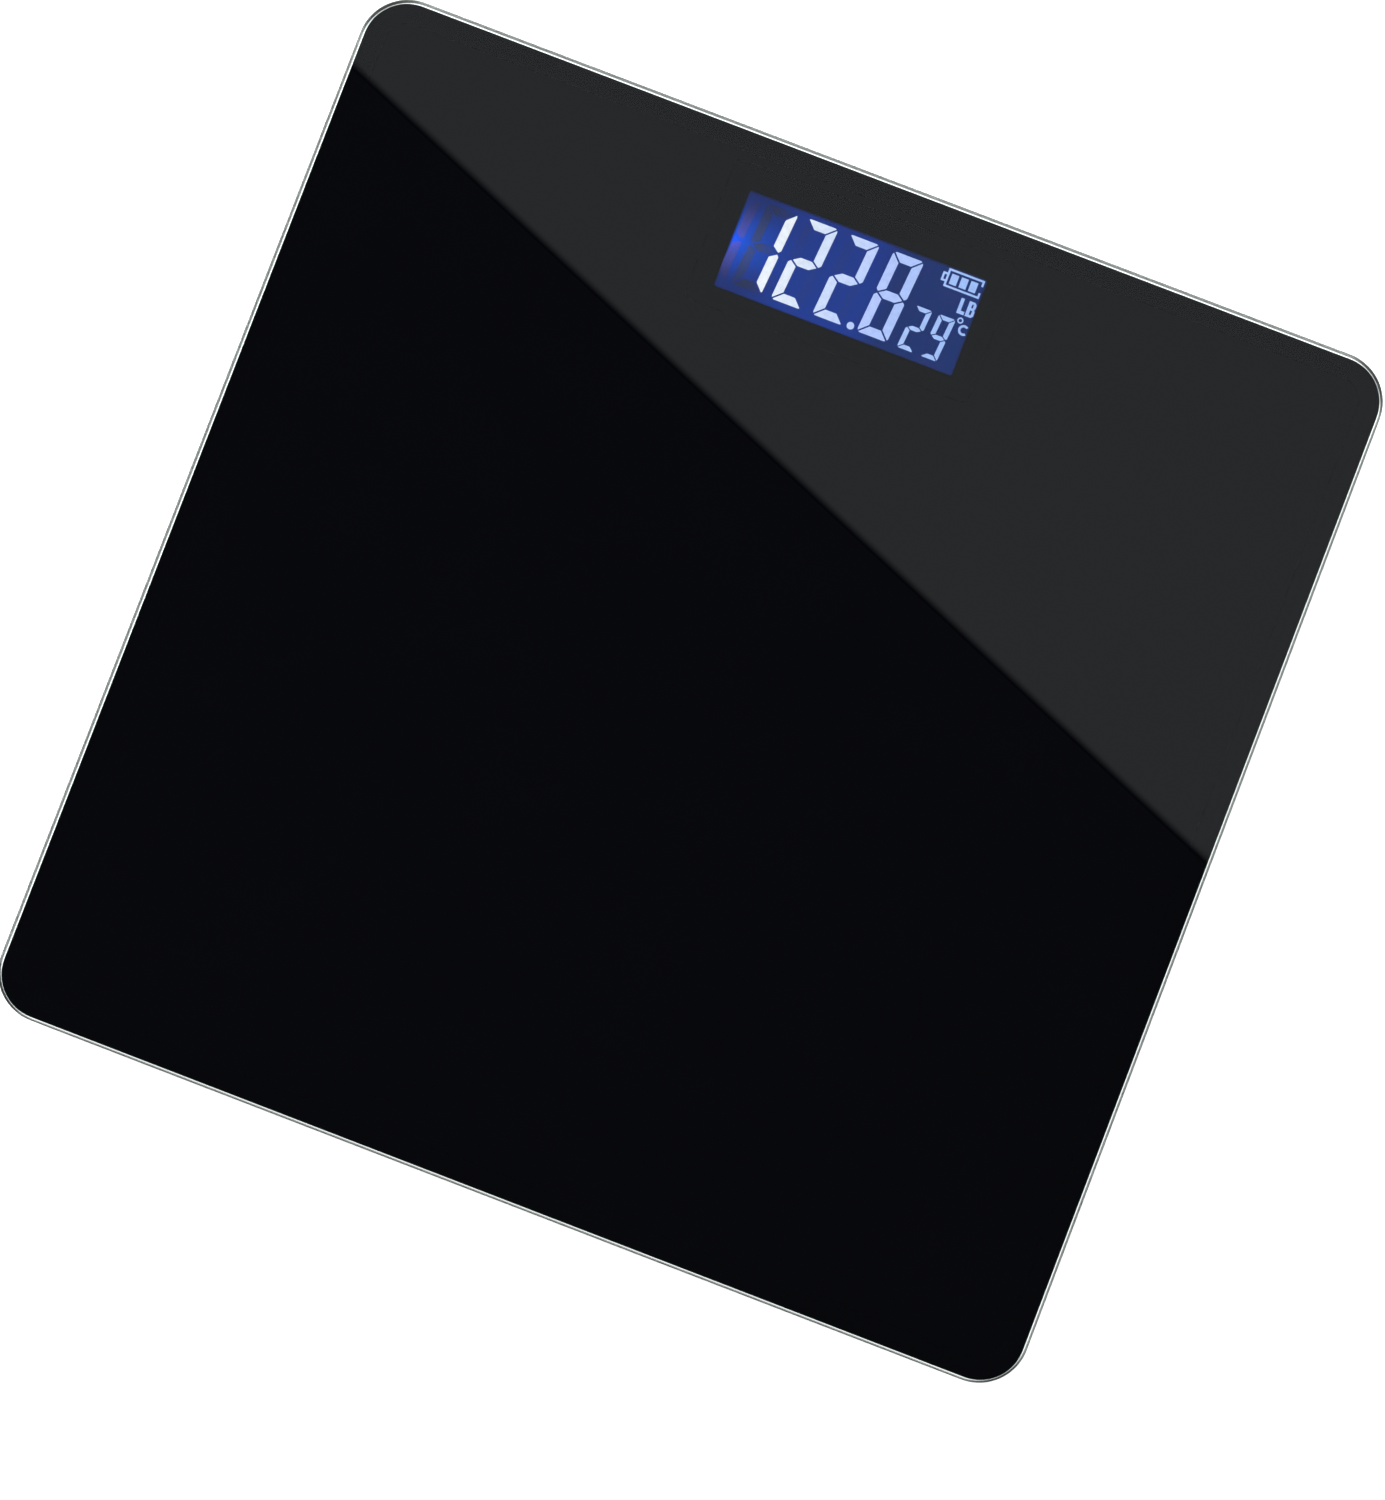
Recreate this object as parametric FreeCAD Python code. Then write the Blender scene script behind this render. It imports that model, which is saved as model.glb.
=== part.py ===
"""Digital bathroom scale: a square glass platform on a shallow plastic base with four load-cell feet.

Millimetres. +Z is up, +Y points to the display end and +X to the right of a person standing on it.
The origin is on the floor, under the middle of the platform. Every piece is a solid of its own and is
written to parts/NODE.step. Corner pieces are drawn about their own centre, for the front left corner,
and turned into place.
"""

import FreeCAD, Part
import math
import os

V = FreeCAD.Vector

# ---------------------------------------------------------------- driving dimensions
GLASS_SIDE = 280.0
GLASS_THICK = 6.0
GLASS_CORNER_R = 13.0
GLASS_EDGE = 0.3                     # ground bevel on both arrises
OVERALL_HEIGHT = 24.0
GLASS_BOTTOM = OVERALL_HEIGHT - GLASS_THICK

PRINT_INSET = 0.52                   # clear border outside the black print, narrower round the corners
PRINT_CORNER_R = 11.7
PRINT_THICK = 0.10
PRINT_GAP = 0.03
PRINT_TOP = GLASS_BOTTOM - PRINT_GAP
PRINT_BOTTOM = PRINT_TOP - PRINT_THICK

WINDOW_X, WINDOW_Y = 0.9, 112.0      # middle of the display window
WINDOW_W, WINDOW_H = 65.6, 26.5
WINDOW_R = 0.6

BASE_SIDE = 262.0
BASE_CORNER_R = 10.0
BASE_BOTTOM = 3.5
BASE_TOP = 16.9
BASE_EDGE_R = 4.0
WALL = 2.0
FLOOR_TOP = BASE_BOTTOM + WALL
INNER_HALF = BASE_SIDE / 2 - WALL
RIM_WIDTH = 4.0                      # the wall thickens at the top, to carry the tape
RIM_DEPTH = 4.5

FOOT_AT = 103.0                      # each foot's distance from both middle lines
FOOT_R = 20.75
FOOT_BOTTOM, FOOT_RIM_TOP = 1.2, 7.2
FOOT_WALL = 1.75
STUD_R = 5.0
PAD_R, PAD_THICK = 18.2, 2.0
WELL_R = 21.5
COLLAR_R, COLLAR_TOP = 23.5, 8.4
LIP_R, LIP_HEIGHT = 23.4, 0.6

CELL_SIDE, CELL_THICK, CELL_BOTTOM = 34.0, 2.5, 9.0
CELL_TOP = CELL_BOTTOM + CELL_THICK
HOLDER_HALF, HOLDER_BOTTOM = 21.0, 8.6
EARS = [(25.0, -10.0), (-14.0, 25.0)]      # screw ears, about the foot's centre
EAR_R, EAR_THICK = 4.2, 2.0

BOARD_THICK, BOARD_BOTTOM = 1.6, 9.9
BOARD_TOP = BOARD_BOTTOM + BOARD_THICK
BOARD_HALF_X, BOARD_Y0, BOARD_Y1 = 44.0, 88.0, 128.0
BOARD_SCREWS = [(WINDOW_X + sx * 41.2, y) for sx in (-1, 1) for y in (90.8, 124.0)]

FRAME_HALF_X, FRAME_Y0, FRAME_Y1, FRAME_TOP = 38.0, 92.2, 128.8, 17.1
LCD_HALF_X, LCD_Y0, LCD_Y1 = 35.25, 94.2, 127.2
LCD_LEDGE = 2.6                      # strip of the front sheet that carries the contacts
SHEET = 1.1                          # one sheet of display glass
POLARIZER = 0.2

BUTTON_X, BUTTON_Y, BUTTON_R = -27.0, 97.0, 4.0
BUTTON_BOTTOM, BUTTON_TOP = 3.2, 6.6

BAY_HALF_X, BAY_Y0, BAY_Y1 = 25.2, 46.4, 76.2
BAY_CEILING, BAY_WALL = 16.4, 1.2
BATTERY_R, BATTERY_LENGTH, BATTERY_Z = 5.25, 44.5, 10.9
BATTERY_Y = {"front": 56.4, "rear": 67.6}
CONTACT = 0.4
OPENING_HALF_X, OPENING_Y0, OPENING_Y1 = 24.5, 49.6, 74.4
DOOR_GAP, DOOR_THICK = 0.3, 1.6

WIRE_R, WIRE_PITCH = 0.55, 1.4
WIRE_Z = FLOOR_TOP + 0.7
WIRE_BEND = 8.0                      # largest bend of a wire laid on the floor
LANE = 7.0                           # width kept clear in the ribs for three wires

CORNERS = ["front_left", "front_right", "rear_right", "rear_left"]   # each a quarter turn on
nodes = {}


# ---------------------------------------------------------------- helpers
def box(x0, x1, y0, y1, z0, z1):
    return Part.makeBox(x1 - x0, y1 - y0, z1 - z0, V(x0, y0, z0))


def disc(x, y, r, z0, z1):
    return Part.makeCylinder(r, z1 - z0, V(x, y, z0))


def ring(x, y, r_in, r_out, z0, z1):
    return disc(x, y, r_out, z0, z1).cut(disc(x, y, r_in, z0, z1))


def rounded(x0, x1, y0, y1, r, z0, z1):
    """A plate with four round corners."""
    k = r * (1 - math.sqrt(0.5))
    edges = [
        Part.LineSegment(V(x0 + r, y0, z0), V(x1 - r, y0, z0)),
        Part.Arc(V(x1 - r, y0, z0), V(x1 - k, y0 + k, z0), V(x1, y0 + r, z0)),
        Part.LineSegment(V(x1, y0 + r, z0), V(x1, y1 - r, z0)),
        Part.Arc(V(x1, y1 - r, z0), V(x1 - k, y1 - k, z0), V(x1 - r, y1, z0)),
        Part.LineSegment(V(x1 - r, y1, z0), V(x0 + r, y1, z0)),
        Part.Arc(V(x0 + r, y1, z0), V(x0 + k, y1 - k, z0), V(x0, y1 - r, z0)),
        Part.LineSegment(V(x0, y1 - r, z0), V(x0, y0 + r, z0)),
        Part.Arc(V(x0, y0 + r, z0), V(x0 + k, y0 + k, z0), V(x0 + r, y0, z0)),
    ]
    wire = Part.Wire([e.toShape() for e in edges])
    return Part.Face(wire).extrude(V(0, 0, z1 - z0))


def square(half, r, z0, z1):
    return rounded(-half, half, -half, half, r, z0, z1)


def at_z(shape, z):
    """The edges that lie in the plane at height z."""
    found = []
    for e in shape.Edges:
        b = e.BoundBox
        if abs(b.ZMin - z) < 1e-4 and abs(b.ZMax - z) < 1e-4:
            found.append(e)
    return found


def corner(shape, k):
    """A piece drawn about (0, 0) for the front left corner, placed at corner k."""
    moved = shape.copy()
    moved.translate(V(-FOOT_AT, -FOOT_AT, 0))
    moved.rotate(V(0, 0, 0), V(0, 0, 1), 90 * k)
    return moved


def tube(points, r, bend):
    """A round wire along straight runs joined by tangent arcs, each as large as its runs allow."""
    pts = [V(*p) for p in points]
    edges = []
    start = pts[0]
    for a, p, b in zip(pts, pts[1:], pts[2:]):
        u, w = (p - a).normalize(), (b - p).normalize()
        turn = u.getAngle(w)
        shorter = min((p - a).Length, (b - p).Length)
        radius = min(0.45 * shorter / math.tan(turn / 2), bend)
        leave = radius * math.tan(turn / 2)
        t0, t1 = p - u * leave, p + w * leave
        inward = (w - u).normalize()
        centre = p + inward * (radius / math.cos(turn / 2))
        middle = centre - inward * radius
        edges.append(Part.LineSegment(start, t0).toShape())
        edges.append(Part.Arc(t0, middle, t1).toShape())
        start = t1
    edges.append(Part.LineSegment(start, pts[-1]).toShape())
    path = Part.Wire(edges)
    profile = Part.Wire([Part.makeCircle(r, pts[0], (pts[1] - pts[0]).normalize())])
    return path.makePipeShell([profile], True, False)


def beside(points, d):
    """The route points moved sideways by d in plan, so that wires run side by side."""
    flat = []
    for a, b in zip(points, points[1:]):
        step = V(b[0] - a[0], b[1] - a[1], 0)
        flat.append(step.normalize() if step.Length > 1e-6 else None)
    for i, u in enumerate(flat):
        if u is None:                # a rising run keeps the direction of the run before it
            flat[i] = flat[i - 1]
    moved = []
    for i, p in enumerate(points):
        before, after = flat[max(i - 1, 0)], flat[min(i, len(flat) - 1)]
        n0, n1 = V(-before.y, before.x, 0), V(-after.y, after.x, 0)
        shift = (n0 + n1) * (d / (1 + n0.dot(n1)))
        moved.append((p[0] + shift.x, p[1] + shift.y, p[2]))
    return moved


def coil(x, y, z, r, wire_r, length, turns):
    """A compression spring along +X, from its foot at (x, y, z)."""
    pitch = length / turns
    path = Part.Wire(Part.makeHelix(pitch, length, r).Edges)
    slope = V(0, 2 * math.pi * r, pitch)
    profile = Part.Wire([Part.makeCircle(wire_r, V(r, 0, 0), slope)])
    spring = path.makePipeShell([profile], True, True)
    spring.rotate(V(0, 0, 0), V(0, 1, 0), 90)
    spring.translate(V(x, y, z))
    return spring


# ---------------------------------------------------------------- platform
def glass_platform():
    plate = square(GLASS_SIDE / 2, GLASS_CORNER_R, GLASS_BOTTOM, OVERALL_HEIGHT)
    return plate.makeChamfer(GLASS_EDGE, at_z(plate, GLASS_BOTTOM) + at_z(plate, OVERALL_HEIGHT))


def window_plate(grow, z0, z1):
    hx, hy = WINDOW_W / 2 + grow, WINDOW_H / 2 + grow
    return rounded(WINDOW_X - hx, WINDOW_X + hx, WINDOW_Y - hy, WINDOW_Y + hy, WINDOW_R, z0, z1)


def back_print():
    half = GLASS_SIDE / 2 - PRINT_INSET
    sheet = square(half, PRINT_CORNER_R, PRINT_BOTTOM, PRINT_TOP)
    return sheet.cut(window_plate(0, PRINT_BOTTOM, PRINT_TOP))


def display_notch(z0, z1):
    """Room for the display frame, cut into the thick rim and its tape."""
    return box(WINDOW_X - FRAME_HALF_X - 1.5, WINDOW_X + FRAME_HALF_X + 1.5, 120, INNER_HALF, z0, z1)


def adhesive_tape():
    outer = square(BASE_SIDE / 2 - 0.6, BASE_CORNER_R - 0.6, BASE_TOP, PRINT_BOTTOM)
    inner = square(BASE_SIDE / 2 - RIM_WIDTH + 0.2, BASE_CORNER_R - RIM_WIDTH, BASE_TOP, PRINT_BOTTOM)
    return outer.cut(inner).cut(display_notch(BASE_TOP, PRINT_BOTTOM))


def adhesive_pads():
    pad = rounded(-18, 18, -18, 18, 3, BASE_TOP, PRINT_BOTTOM)
    return Part.makeCompound([corner(pad, k) for k in range(4)])


# ---------------------------------------------------------------- feet and load cells
def foot():
    cup = disc(0, 0, FOOT_R, FOOT_BOTTOM, FOOT_RIM_TOP)
    cup = cup.makeFillet(1.0, at_z(cup, FOOT_BOTTOM))
    floor_top = FOOT_BOTTOM + 2.0
    cup = cup.cut(disc(0, 0, FOOT_R - FOOT_WALL, floor_top, FOOT_RIM_TOP))
    cup = cup.cut(disc(0, 0, PAD_R + 0.2, FOOT_BOTTOM, PAD_THICK))
    adds = [disc(0, 0, STUD_R, floor_top, CELL_BOTTOM)]
    for i in range(6):
        rib = box(STUD_R - 1, FOOT_R - FOOT_WALL + 0.3, -0.6, 0.6, floor_top, FOOT_RIM_TOP - 0.8)
        rib.rotate(V(0, 0, 0), V(0, 0, 1), 60 * i)
        adds.append(rib)
    return cup.multiFuse(adds).removeSplitter()


def foot_pad():
    pad = disc(0, 0, PAD_R, 0, PAD_THICK)
    pad = pad.makeFillet(0.4, at_z(pad, 0))
    for r in (8.0, 13.0):
        pad = pad.cut(ring(0, 0, r, r + 1.2, 0, 0.4))
    return pad


def load_cell():
    """Spring-steel plate: an outer frame and an inner tongue, joined by one narrow bridge at +Y."""
    half, slot_out, slot_in, bridge = CELL_SIDE / 2, 12.2, 9.8, 4.5
    plate = rounded(-half, half, -half, half, 4, CELL_BOTTOM, CELL_TOP)
    slot = box(-slot_out, slot_out, -slot_out, slot_out, CELL_BOTTOM, CELL_TOP)
    slot = slot.cut(box(-slot_in, slot_in, -slot_in, slot_in, CELL_BOTTOM, CELL_TOP))
    slot = slot.cut(box(-bridge, bridge, slot_in, slot_out, CELL_BOTTOM, CELL_TOP))
    cuts = [slot]
    for s in (-1, 1):
        x0, x1 = sorted((s * bridge, s * (bridge + 1.5)))
        cuts.append(box(x0, x1, slot_out, slot_out + 1.6, CELL_BOTTOM, CELL_TOP))
        for y in (-14.3, 14.3):
            cuts.append(disc(s * 14.3, y, 1.4, CELL_BOTTOM, CELL_TOP))
    for c in cuts:
        plate = plate.cut(c)
    return plate


def strain_gauge():
    blob = rounded(-4, 4, 8.5, 15.5, 1.5, CELL_TOP, CELL_TOP + 0.9)
    return blob.makeFillet(0.4, at_z(blob, CELL_TOP + 0.9))


def cell_holder():
    body = rounded(-HOLDER_HALF, HOLDER_HALF, -HOLDER_HALF, HOLDER_HALF, 4, HOLDER_BOTTOM, BASE_TOP)
    pocket = CELL_SIDE / 2 + 0.2
    body = body.cut(rounded(-pocket, pocket, -pocket, pocket, 4.2, HOLDER_BOTTOM, CELL_TOP))
    body = body.cut(box(-11.8, 11.8, -11.8, 11.8, CELL_TOP, CELL_TOP + 2.9))
    body = body.cut(box(-6, 6, 10, HOLDER_HALF, CELL_TOP, CELL_TOP + 2.1))
    ears = []
    for x, y in EARS:
        ears.append(disc(x, y, EAR_R, HOLDER_BOTTOM, HOLDER_BOTTOM + EAR_THICK))
        x0, x1 = (HOLDER_HALF - 2, x) if x > HOLDER_HALF else (x - EAR_R, x + EAR_R)
        y0, y1 = (HOLDER_HALF - 2, y) if y > HOLDER_HALF else (y - EAR_R, y + EAR_R)
        ears.append(box(x0, x1, y0, y1, HOLDER_BOTTOM, HOLDER_BOTTOM + EAR_THICK))
    body = body.multiFuse(ears)
    body = body.cut(rounded(-pocket, pocket, -pocket, pocket, 4.2, HOLDER_BOTTOM, CELL_TOP))
    for x, y in EARS:
        body = body.cut(disc(x, y, 1.3, HOLDER_BOTTOM, HOLDER_BOTTOM + EAR_THICK))
    return body.removeSplitter()


def screw(x, y, seat, head_r=2.1, head=1.4, shank_r=1.05, length=4.6):
    """Pan-head self-tapping screw, with its head on the seat and a cross recess."""
    top = disc(x, y, head_r, seat, seat + head)
    top = top.makeFillet(0.5, at_z(top, seat + head))
    whole = top.fuse(disc(x, y, shank_r, seat - length, seat + 0.1))
    for wide, deep in ((1.1, 0.2), (0.2, 1.1)):
        whole = whole.cut(box(x - wide, x + wide, y - deep, y + deep, seat + head - 0.8, seat + head))
    return whole.removeSplitter()


# ---------------------------------------------------------------- wires
def wire_routes():
    """Plan of the three wires of each load cell: out of the holder, down to the floor, to the board."""
    out, high = 16.6, CELL_TOP + 0.7
    low, pad_z = WIRE_Z, BOARD_BOTTOM
    left, right = -FOOT_AT, FOOT_AT
    return {
        "front_left": [
            (left, left + out, high), (left, left + 25, high), (left, left + 35, low),
            (left, 72, low), (-35, 72, low), (-35, 90.6, low), (-35, 90.6, pad_z),
        ],
        "front_right": [
            (right - out, left, high), (right - 25, left, high), (right - 35, left, low),
            (36.8, left, low), (36.8, 94, low), (36.8, 94, pad_z),
        ],
        "rear_right": [
            (right, right - out, high), (right, right - 25, high), (right, right - 35, low),
            (right, 56, low), (56, 56, low), (56, 104, low), (41, 104, low), (41, 104, pad_z),
        ],
        "rear_left": [
            (left + out, right, high), (left + 25, right, high), (left + 35, right, low),
            (-40, right, low), (-40, right, pad_z),
        ],
    }


def cell_wires(points):
    return Part.makeCompound([tube(beside(points, i * WIRE_PITCH), WIRE_R, WIRE_BEND) for i in (-1, 0, 1)])


def lanes():
    """Plan boxes along the laid wires, to be kept clear in the ribs."""
    cuts = []
    for points in wire_routes().values():
        for a, b in zip(points, points[1:]):
            if a[2] > WIRE_Z and b[2] > WIRE_Z:
                continue
            x0, x1 = sorted((a[0], b[0]))
            y0, y1 = sorted((a[1], b[1]))
            w = LANE / 2
            cuts.append(box(x0 - w, x1 + w, y0 - w, y1 + w, FLOOR_TOP, BASE_TOP))
    return cuts


def battery_lead(name, x):
    """From a contact's solder tail along the bay's side and up to the board."""
    y, z = BATTERY_Y[name], 13.2
    points = [
        (BAY_HALF_X + 3.4, y, z), (x, y, z), (x, 82, z), (x, 84, 7.6), (x, 91, 7.6), (x, 91, BOARD_BOTTOM),
    ]
    return tube(points, WIRE_R, 3.0)


# ---------------------------------------------------------------- batteries
def battery(name):
    """AAA cell. The front one has its nub to the right, the rear one to the left."""
    nub, nub_r = 1.0, 1.9
    can = Part.makeCylinder(BATTERY_R, BATTERY_LENGTH - nub, V(0, 0, 0), V(1, 0, 0))
    can = can.makeFillet(0.5, [e for e in can.Edges if abs(e.BoundBox.XMax - e.BoundBox.XMin) < 1e-6])
    whole = can.fuse(Part.makeCylinder(nub_r, nub + 0.5, V(BATTERY_LENGTH - nub - 0.5, 0, 0), V(1, 0, 0)))
    whole = whole.removeSplitter()
    tip = BAY_HALF_X - CONTACT
    if name == "front":
        whole.translate(V(tip - BATTERY_LENGTH, BATTERY_Y[name], BATTERY_Z))
    else:
        whole.rotate(V(0, 0, 0), V(0, 0, 1), 180)
        whole.translate(V(BATTERY_LENGTH - tip, BATTERY_Y[name], BATTERY_Z))
    return whole


def contact_plate(side, y0, y1):
    x0, x1 = sorted((side * BAY_HALF_X, side * (BAY_HALF_X - CONTACT)))
    return box(x0, x1, y0, y1, 6.6, 15.6)


def contact_spring(side, y):
    length = 2 * (BAY_HALF_X - CONTACT) - BATTERY_LENGTH
    wire_r = 0.35
    spring = coil(0, 0, 0, 2.9, wire_r, length - 2 * wire_r - 0.1, 2.5)
    spring.translate(V(wire_r + 0.05, 0, 0))
    if side > 0:
        spring.rotate(V(0, 0, 0), V(0, 0, 1), 180)
    spring.translate(V(side * (BAY_HALF_X - CONTACT), y, BATTERY_Z))
    return spring


def battery_terminal(y):
    """Right-hand plate with a solder tail that goes out through the bay's wall."""
    tail = box(BAY_HALF_X - CONTACT, BAY_HALF_X + 3.4, y - 1.5, y + 1.5, 12.25, 12.65)
    return contact_plate(1, y - 4.2, y + 4.2).fuse(tail).removeSplitter()


# ---------------------------------------------------------------- door and button
def battery_door():
    y0, y1 = OPENING_Y0 + DOOR_GAP, OPENING_Y1 - DOOR_GAP
    half = OPENING_HALF_X - DOOR_GAP
    top = BASE_BOTTOM + DOOR_THICK
    plate = rounded(-half, half, y0, y1, 1.0, BASE_BOTTOM, top)
    adds = []
    for s in (-1, 1):
        x0, x1 = sorted((s * 7, s * 15))
        adds.append(box(x0, x1, y0, y0 + 2, top - 0.2, FLOOR_TOP + 1.3))                 # neck
        adds.append(box(x0, x1, OPENING_Y0 - 2.6, y0 + 2, FLOOR_TOP + 0.1, FLOOR_TOP + 1.3))   # tab
    for x in (-16, 16):
        adds.append(box(x - 0.6, x + 0.6, y0 + 3, y1 - 4, top - 0.2, FLOOR_TOP))         # ribs
    tongue_y = y1 - 0.8
    adds.append(box(-5, 5, tongue_y - 1.0, tongue_y, top - 0.2, 8.0))                    # latch tongue
    bead = Part.makeCylinder(0.7, 8, V(-4, tongue_y, 6.4), V(1, 0, 0))
    adds.append(bead)
    door = plate.multiFuse(adds)
    for s in (-1, 1):
        x0, x1 = sorted((s * 5.6, s * 6.4))
        door = door.cut(box(x0, x1, y1 - 4, y1, BASE_BOTTOM, top))                       # flex slots
    for i in range(3):
        y = y1 - 5.5 - 1.6 * i
        door = door.cut(box(-6, 6, y - 0.4, y + 0.4, BASE_BOTTOM, BASE_BOTTOM + 0.35))   # grip grooves
    return door.removeSplitter()


def unit_button():
    cap = disc(BUTTON_X, BUTTON_Y, BUTTON_R, BUTTON_BOTTOM, BUTTON_TOP)
    cap = cap.makeFillet(0.5, at_z(cap, BUTTON_BOTTOM))
    cap = cap.fuse(disc(BUTTON_X, BUTTON_Y, 5.5, FLOOR_TOP + 0.25, BUTTON_TOP))
    dish = Part.makeSphere(14, V(BUTTON_X, BUTTON_Y, BUTTON_BOTTOM - 13.6))
    return cap.cut(dish).removeSplitter()


def switch_plunger():
    return disc(BUTTON_X, BUTTON_Y, 1.5, BUTTON_TOP, BUTTON_TOP + 1.2)


def tact_switch():
    body = box(BUTTON_X - 3, BUTTON_X + 3, BUTTON_Y - 3, BUTTON_Y + 3, BUTTON_TOP + 0.8, BOARD_BOTTOM)
    return body.cut(disc(BUTTON_X, BUTTON_Y, 1.7, BUTTON_TOP + 0.8, BUTTON_TOP + 2.0))


# ---------------------------------------------------------------- board
def main_board():
    x = WINDOW_X
    board = rounded(x - BOARD_HALF_X, x + BOARD_HALF_X, BOARD_Y0, BOARD_Y1, 1, BOARD_BOTTOM, BOARD_TOP)
    for sx, sy in BOARD_SCREWS:
        board = board.cut(disc(sx, sy, 1.3, BOARD_BOTTOM, BOARD_TOP))
    for s in (-1, 1):
        board = board.cut(disc(x + s * (FRAME_HALF_X - 0.85), 110, 0.8, BOARD_BOTTOM, BOARD_TOP))
    return board


def chip_blob():
    """Black epoxy over the chip, on the board's underside."""
    r, rise = 6.0, 1.8
    sphere_r = (r * r + rise * rise) / (2 * rise)
    ball = Part.makeSphere(sphere_r, V(16, 108, BOARD_BOTTOM - rise + sphere_r))
    return ball.common(disc(16, 108, r, BOARD_BOTTOM - rise, BOARD_BOTTOM))


def board_components():
    """Chip resistors and capacitors in rows, an amplifier, a crystal and a smoothing capacitor."""
    parts = []
    for row in range(2):
        for i in range(6):
            x, y = -12 + 4.2 * i, 93 + 3.0 * row
            parts.append(box(x, x + 2.0, y, y + 1.25, BOARD_BOTTOM - 0.55, BOARD_BOTTOM))
    for i in range(4):
        x = -8 + 3.4 * i
        parts.append(box(x, x + 1.6, 118, 121.2, BOARD_BOTTOM - 1.2, BOARD_BOTTOM))
    parts.append(box(-6, -1, 103, 109, BOARD_BOTTOM - 1.5, BOARD_BOTTOM))
    crystal = Part.makeCylinder(1.0, 6.0, V(26, 119, BOARD_BOTTOM - 1.05), V(1, 0, 0))
    can = Part.makeCylinder(2.0, 6.5, V(-24, 112, BOARD_BOTTOM - 2.1), V(1, 0, 0))
    can = can.makeFillet(0.4, [e for e in can.Edges if abs(e.BoundBox.XMax - e.BoundBox.XMin) < 1e-6])
    return Part.makeCompound(parts + [crystal, can])


def temperature_sensor():
    x, y, z = 40.5, 116, BOARD_BOTTOM - 2.6
    bead = Part.makeSphere(1.2, V(x, y, z))
    legs = [disc(x, y + s * 0.6, 0.22, z, BOARD_BOTTOM) for s in (-1, 1)]
    return bead.multiFuse(legs).removeSplitter()


# ---------------------------------------------------------------- display
def display_stack():
    """The display module, from the board up: reflector, light guide, diffuser, liquid crystal cell."""
    x = WINDOW_X
    z = BOARD_TOP
    guide = (x - 33.2, x + 36.0, LCD_Y0 + LCD_LEDGE + 1.6, LCD_Y1)
    rear_y0 = LCD_Y0 + LCD_LEDGE
    stack = {}
    stack["reflector_sheet"] = box(*guide, z, z + 0.2)
    stack["light_guide"] = box(*guide, z + 0.2, z + 2.85)
    stack["diffuser_sheet"] = box(*guide, z + 2.85, z + 3.0)
    lcd = (x - LCD_HALF_X, x + LCD_HALF_X)
    z += 3.0
    film = rear_y0 + 0.9, LCD_Y1 - 0.5
    stack["polarizer_rear"] = box(lcd[0] + 0.5, lcd[1] - 0.5, *film, z, z + POLARIZER)
    z += POLARIZER
    stack["lcd_glass_rear"] = box(*lcd, rear_y0, LCD_Y1, z, z + SHEET)
    z += SHEET
    stack["lcd_glass_front"] = box(*lcd, LCD_Y0, LCD_Y1, z, z + SHEET)
    stack["zebra_connector"] = box(x - 31, x + 31, LCD_Y0 + 0.2, LCD_Y0 + 2.2, BOARD_TOP, z)
    z += SHEET
    stack["polarizer_front"] = box(lcd[0] + 0.5, lcd[1] - 0.5, LCD_Y0 + 0.5, film[1], z, z + POLARIZER)
    z += POLARIZER
    gasket = box(x - 34.6, x + 34.6, WINDOW_Y - 14.9, WINDOW_Y + 14.9, z, PRINT_BOTTOM)
    hole = box(x - 33.2, x + 33.2, WINDOW_Y - 13.5, WINDOW_Y + 13.5, z, PRINT_BOTTOM)
    stack["display_gasket"] = gasket.cut(hole)
    return stack


def backlight_strip():
    x = WINDOW_X - 36.2
    return box(x, x + 0.8, 101, 124, BOARD_TOP + 0.1, BOARD_TOP + 2.8)


def backlight_leds():
    x = WINDOW_X - 35.4
    leds = [box(x, x + 1.9, y - 1.9, y + 1.9, BOARD_TOP + 0.5, BOARD_TOP + 2.5) for y in (106.5, 118.5)]
    return Part.makeCompound(leds)


def display_frame():
    x = WINDOW_X
    frame = rounded(x - FRAME_HALF_X, x + FRAME_HALF_X, FRAME_Y0, FRAME_Y1, 0.8, BOARD_TOP, FRAME_TOP)
    frame = frame.cut(box(x - 36.3, x + 36.3, LCD_Y0 - 0.3, LCD_Y1 + 0.3, BOARD_TOP, FRAME_TOP))
    adds = [box(x - 36.5, x + 36.5, LCD_Y0 + LCD_LEDGE, LCD_Y0 + LCD_LEDGE + 1.4, BOARD_TOP, BOARD_TOP + 2.9)]
    for s in (-1, 1):
        adds.append(disc(x + s * (FRAME_HALF_X - 0.85), 110, 0.7, BOARD_BOTTOM - 0.4, BOARD_TOP + 0.5))
    return frame.multiFuse(adds).removeSplitter()


# ---------------------------------------------------------------- base shell
def ribs():
    """Stiffening ribs on the floor, cleared round the feet, the bay, the board and the wires."""
    h, t = 5.0, 0.7
    reach = INNER_HALF + 0.3
    walls = [box(x - t, x + t, -reach, reach, FLOOR_TOP, FLOOR_TOP + h) for x in (-78, -52, 0, 26, 78)]
    walls += [box(-reach, reach, y - t, y + t, FLOOR_TOP, FLOOR_TOP + h) for y in (-78, -40, 0, 36)]
    grid = walls[0].multiFuse(walls[1:])
    room = FLOOR_TOP - 1, BASE_TOP
    clear = [
        box(-BAY_HALF_X - 6, BAY_HALF_X + 10, BAY_Y0 - 3, BASE_SIDE, *room),
        box(WINDOW_X - BOARD_HALF_X - 3, WINDOW_X + BOARD_HALF_X + 3, BOARD_Y0 - 4, BASE_SIDE, *room),
    ]
    for k in range(4):
        clear.append(corner(rounded(-40, 31, -40, 31, 5, *room), k))
    for c in clear + lanes():
        grid = grid.cut(c)
    return grid.Solids


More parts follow.
